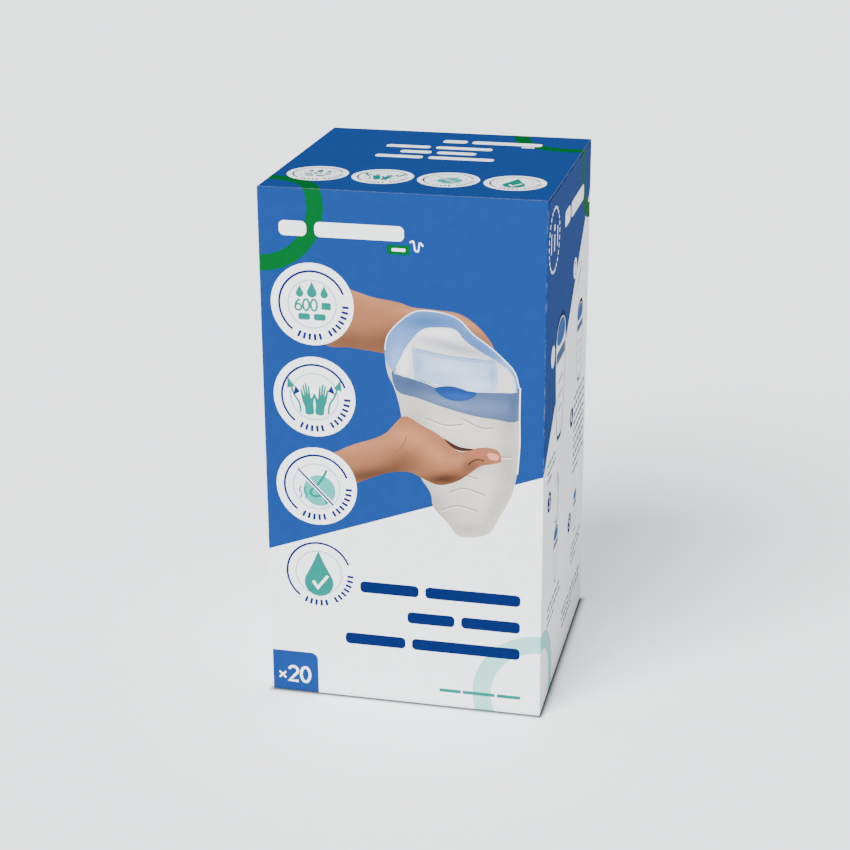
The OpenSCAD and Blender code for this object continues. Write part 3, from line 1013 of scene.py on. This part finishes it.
CREASE_FROM = DUST_FRONT + 6 + HALF_D
CREASE_TO = DUST_BACK + HALF_D
BOARD_FACES = [PRINTED, RAW]
carton = [
    ("front_panel", front, rect(0, 0, WIDTH, HEIGHT), "carton", "printed_board"),
    ("right_panel", right, side_outline(CREASE_FROM, CREASE_TO, 0), "carton", "printed_board"),
    ("back_panel", back, rect(0, 0, WIDTH, HEIGHT - STRIP), "carton", "printed_board"),
    ("left_panel", left, side_outline(DEPTH - CREASE_TO, DEPTH - CREASE_FROM, BOARD), "carton",
     "printed_board"),
    ("glue_flap", glue, rect(0, -GLUE_HIGH[2], GLUE_HIGH[0] - GLUE_LOW[0], -GLUE_LOW[2]), "carton",
     "plain_board"),
    ("lid_panel", lid, rect(LID_MARGIN, LID_FRONT + STRIP, WIDTH - LID_MARGIN, DEPTH - STRIP), "lid",
     "printed_board"),
    ("lid_tuck_flap", tuck, tuck_outline(), "tuck_flap", "printed_board"),
    ("dust_flap_right", dust_right, dust_outline(-1), "right_dust_flap", "plain_board"),
    ("dust_flap_left", dust_left, dust_outline(1), "left_dust_flap", "plain_board"),
    ("bottom_flap_front", bottom_front, [(WIDTH - GAP, 0), (GAP, 0)] + tongue(1, 0), "carton",
     "plain_board"),
    ("bottom_flap_back", bottom_back, [(WIDTH - GAP, 0), (GAP, 0)] + tongue(-1, GAP), "carton",
     "plain_board"),
    ("bottom_flap_right", bottom_right,
     [(0, -HALF_D + 2), (0, HALF_D - 2), (MINOR_REACH, HALF_D - 8), (MINOR_REACH, -HALF_D + 30)], "carton",
     "plain_board"),
    ("bottom_flap_left", bottom_left,
     [(0, HALF_D - 2), (0, -HALF_D + 2), (MINOR_REACH, -HALF_D + 8), (MINOR_REACH, HALF_D - 30)], "carton",
     "plain_board"),
]
for name, panel, outline, body, slot in carton:
    piece = board_piece(name + "_board", [(panel, outline)], BOARD_FACES)
    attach(piece, body)
    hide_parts(name)


def crease_strip(name, parts, corner, first, last):
    """The strip of board round a crease, from one panel to the other."""
    piece = board_piece(name, parts, BOARD_FACES)
    along = np.array(last, float) - np.array(first, float)
    along *= (STRIP - BOARD) / math.sqrt(2) / np.linalg.norm(along)
    corner = np.array(corner, float)
    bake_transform(piece)


crease_strip("lid_crease",
             [(back, rect(0, HEIGHT - STRIP, WIDTH, HEIGHT)),
              (lid, rect(LID_MARGIN, DEPTH - STRIP, WIDTH - LID_MARGIN, DEPTH))],
             (0, HALF_D, HEIGHT), -Z, -Y)
crease_strip("tuck_crease",
             [(lid, rect(LID_MARGIN, LID_FRONT, WIDTH - LID_MARGIN, LID_FRONT + STRIP)),
              (tuck, rect(TUCK_MARGIN, -STRIP, WIDTH - TUCK_MARGIN, 0))],
             (0, CREASE_Y, HEIGHT), Y, -LEAN)
crease_strip("right_dust_crease",
             [(right, rect(CREASE_FROM, SIDE_TOP - STRIP, CREASE_TO, SIDE_TOP)),
              (dust_right, dust_strip(-1))],
             (HALF_W, 0, SIDE_TOP), -Z, -X)
crease_strip("left_dust_crease",
             [(left, rect(DEPTH - CREASE_TO, SIDE_TOP - STRIP, DEPTH - CREASE_FROM, SIDE_TOP)),
              (dust_left, dust_strip(1))],
             (-HALF_W, 0, SIDE_TOP), -Z, X)

# ---- the bags ----

BAG_HEIGHT = 225.0
BAG_HALF = 59.5
FOOT_X, FOOT_RADIUS, SHOULDER = 20.0, 32.0, 118.0
WELD = 3.0             # the flat welded edge down each side and across the foot
FILM = 0.2
COLLAR_HEIGHT = 42.0
NOTCH = 13.0
COLUMNS = 26           # across one face of a bag
POCKET_LEVELS = (0, 3, 8, 16, 30, 50, 80, 110, 135, 155, 170, 181, 188, 195, 202, 208, 214, 219, 223, 225)
PAD_LEVELS = (4, 6, 12, 22, 40, 65, 95, 125, 150, 170, 182, 191, 199, 206, 211, 214.5, 216)
COLLAR_LEVELS = (0, 0.12, 0.26, 0.4, 0.55, 0.7, 0.84, 0.94, 1)


def half_width(z):
    if z < FOOT_RADIUS:
        return FOOT_X + math.sqrt(FOOT_RADIUS ** 2 - (FOOT_RADIUS - z) ** 2)
    foot = FOOT_X + FOOT_RADIUS
    return min(BAG_HALF, foot + (z - FOOT_RADIUS) * (BAG_HALF - foot) / (SHOULDER - FOOT_RADIUS))


class Bag:
    """One bag's place and its own creases."""

    def __init__(self, number):
        self.name = f"urinal_{number:02d}"
        low, high = box_mm(self.name + "_pocket")
        self.y = (low[1] + high[1]) / 2
        self.base = low[2]
        draw = random.Random(number)
        self.shift = draw.uniform(-0.5, 0.5)
        self.drop = draw.uniform(0, 1.4)
        self.waves = [(draw.uniform(0.04, 0.09), draw.uniform(-0.06, 0.06), draw.uniform(0, 6.3), 0.10),
                      (draw.uniform(0.12, 0.22), draw.uniform(-0.10, 0.10), draw.uniform(0, 6.3), 0.06),
                      (draw.uniform(0.35, 0.5), draw.uniform(-0.2, 0.2), draw.uniform(0, 6.3), 0.03),
                      (draw.uniform(-0.05, 0.05), draw.uniform(0.10, 0.16), draw.uniform(0, 6.3), 0.06)]

    def crease(self, x, z):
        return sum(size * math.sin(a * x + b * z + start) for a, b, start, size in self.waves)

    def fullness(self, x, z):
        """Half of the pocket's thickness there."""
        inside = max(half_width(z) - WELD, 1)
        round_off = max(0.0, 1 - abs(x / inside) ** 4) ** 0.7
        return 0.15 + 2.0 * round_off * min(1, max(z - WELD, 0) / 14) ** 0.7

    def loop(self, heights, reach, grow):
        """One level's loop: across the front, then back across the rear."""
        points = []
        for side in (-1, 1):
            for k in range(COLUMNS + 1):
                share = -side * (2 * k / COLUMNS - 1)
                share = 0.75 * share + 0.25 * math.sin(share * math.pi / 2)
                z = heights(side, share * BAG_HALF)
                x = share * (half_width(z) + reach)
                y = self.y + side * (self.fullness(x, z) + grow) + self.crease(x, z)
                points.append((x + self.shift, y, self.base + z - self.drop * z / BAG_HEIGHT))
        return points


def loft(verts, faces, loops, inward=False):
    """Adds a stack of loops and the faces between them; returns the first and last loop's indices."""
    count = len(loops[0])
    start = len(verts)
    for loop in loops:
        verts.extend(loop)
    for level in range(len(loops) - 1):
        a = start + level * count
        for i in range(count):
            j = (i + 1) % count
            quad = (a + i, a + j, a + count + j, a + count + i)
            faces.append(quad[::-1] if inward else quad)
    return range(start, start + count), range(len(verts) - count, len(verts))


def rim(faces, outer, inner, up):
    count = len(outer)
    for i in range(count):
        j = (i + 1) % count
        quad = (outer[i], outer[j], inner[j], inner[i])
        faces.append(quad if up else quad[::-1])


def cap(faces, loop, up):
    """Closes a loop from its front half across to its rear half."""
    for i in range(COLUMNS):
        quad = (loop[i], loop[i + 1], loop[len(loop) - 2 - i], loop[len(loop) - 1 - i])
        faces.append(quad if up else quad[::-1])


def level(z):
    return lambda side, x: z


def pocket(bag):
    verts, faces = [], []
    foot, mouth = loft(verts, faces, [bag.loop(level(z), 0, 0) for z in POCKET_LEVELS])
    inside = [bag.loop(level(z), -WELD - 0.2, -FILM) for z in POCKET_LEVELS[2:]]
    well, lip = loft(verts, faces, inside, True)
    cap(faces, foot, False)
    cap(faces, well, True)
    rim(faces, mouth, lip, True)
    return make_mesh(bag.name + "_pocket_film", np.array(verts) * MM, faces, [WHITE_FILM])


def collar(bag):
    """The blue band round the mouth, with a thumb notch in front."""
    def height(share):
        def at(side, x):
            top = BAG_HEIGHT
            if side < 0 and abs(x) < NOTCH:
                top -= math.sqrt(NOTCH ** 2 - x ** 2)
            return BAG_HEIGHT - COLLAR_HEIGHT + share * (top - BAG_HEIGHT + COLLAR_HEIGHT)
        return at
    verts, faces = [], []
    low_out, top_out = loft(verts, faces, [bag.loop(height(t), 0.3, 0.3) for t in COLLAR_LEVELS])
    low_in, top_in = loft(verts, faces, [bag.loop(height(t), 0.1, 0.08) for t in COLLAR_LEVELS], True)
    rim(faces, top_out, top_in, True)
    rim(faces, low_out, low_in, False)
    return make_mesh(bag.name + "_collar_film", np.array(verts) * MM, faces, [BLUE_FILM])


def pads(stack):
    """The twenty quilted pads, each filling its pocket to just under the mouth."""
    verts, faces = [], []
    for bag in stack:
        loops = []
        for z in PAD_LEVELS:
            thin = -FILM - 0.08 - 0.9 * max(0, (z - 208) / 8) ** 2
            loops.append(bag.loop(level(z), -WELD - 1.2, thin))
        foot, top = loft(verts, faces, loops)
        cap(faces, foot, False)
        cap(faces, top, True)
    return make_mesh("quilted_pads", np.array(verts) * MM, faces, [PAD])


bags = [Bag(number) for number in range(1, 21)]
for bag in bags:
    for build, part, slot in ((pocket, "_pocket", "white_film"), (collar, "_collar", "blue_film")):
        piece = build(bag)
        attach(piece, "carton")
        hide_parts(bag.name + part)
all_pads = pads(bags)
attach(all_pads, "carton")
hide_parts("absorbent_pads")

# ---- the camera, the floor and the lights ----

CAM_YAW = math.radians(12.2)
CAM_PITCH = math.radians(19.5)
CAM_DISTANCE = 3.47        # these three in carton heights
CAM_HEIGHT = 1.79
CAM_ASIDE = 0.03
SENSOR = 36.0
FOCAL_IN_WIDTHS = 2.225
CAM_SHIFT_X, CAM_SHIFT_Y = -0.028, -0.050
FLOOR_REACH = 40.0         # metres from the carton's centre to the floor's edge
FLOOR_DROP = 0.0003        # metres between the carton's foot and the floor


def make_camera():
    data = bpy.data.cameras.new("camera")
    camera = bpy.data.objects.new("camera", data)
    bpy.context.scene.collection.objects.link(camera)
    ahead = Vector((-math.sin(CAM_YAW), math.cos(CAM_YAW), 0))
    aside = Vector((math.cos(CAM_YAW), math.sin(CAM_YAW), 0))
    camera.location = (-ahead * CAM_DISTANCE + aside * CAM_ASIDE + Vector((0, 0, CAM_HEIGHT))) * HEIGHT * MM
    look = ahead * math.cos(CAM_PITCH) - Vector((0, 0, math.sin(CAM_PITCH)))
    camera.rotation_euler = look.to_track_quat("-Z", "Y").to_euler()
    data.sensor_width = SENSOR
    data.lens = SENSOR * FOCAL_IN_WIDTHS
    data.shift_x, data.shift_y = CAM_SHIFT_X, CAM_SHIFT_Y
    data.clip_start, data.clip_end = 0.01, 100
    bpy.context.scene.camera = camera


def make_floor():
    corners = [(u, v, -FLOOR_DROP) for u, v in rect(-FLOOR_REACH, -FLOOR_REACH, FLOOR_REACH, FLOOR_REACH)]
    floor = make_mesh("studio_floor", corners, [(0, 1, 2, 3)], [studio_floor()])


def sun(name, from_left, from_front, from_above, spread_angle, power):
    data = bpy.data.lights.new(name, "SUN")
    data.energy = power
    data.angle = math.radians(spread_angle)
    light = bpy.data.objects.new(name, data)
    bpy.context.scene.collection.objects.link(light)
    light.rotation_euler = Vector((from_left, from_front, -from_above)).to_track_quat("-Z", "Y").to_euler()


def make_world():
    world = bpy.data.worlds.new("studio")
    world.use_nodes = True
    sky = world.node_tree.nodes["Background"]
    sky.inputs["Color"].default_value = (0.92, 0.96, 1.0, 1)
    sky.inputs["Strength"].default_value = 0.22
    bpy.context.scene.world = world


make_camera()
make_floor()
make_world()
sun("key", 0.34, 0.66, 0.70, 40, 7.6)
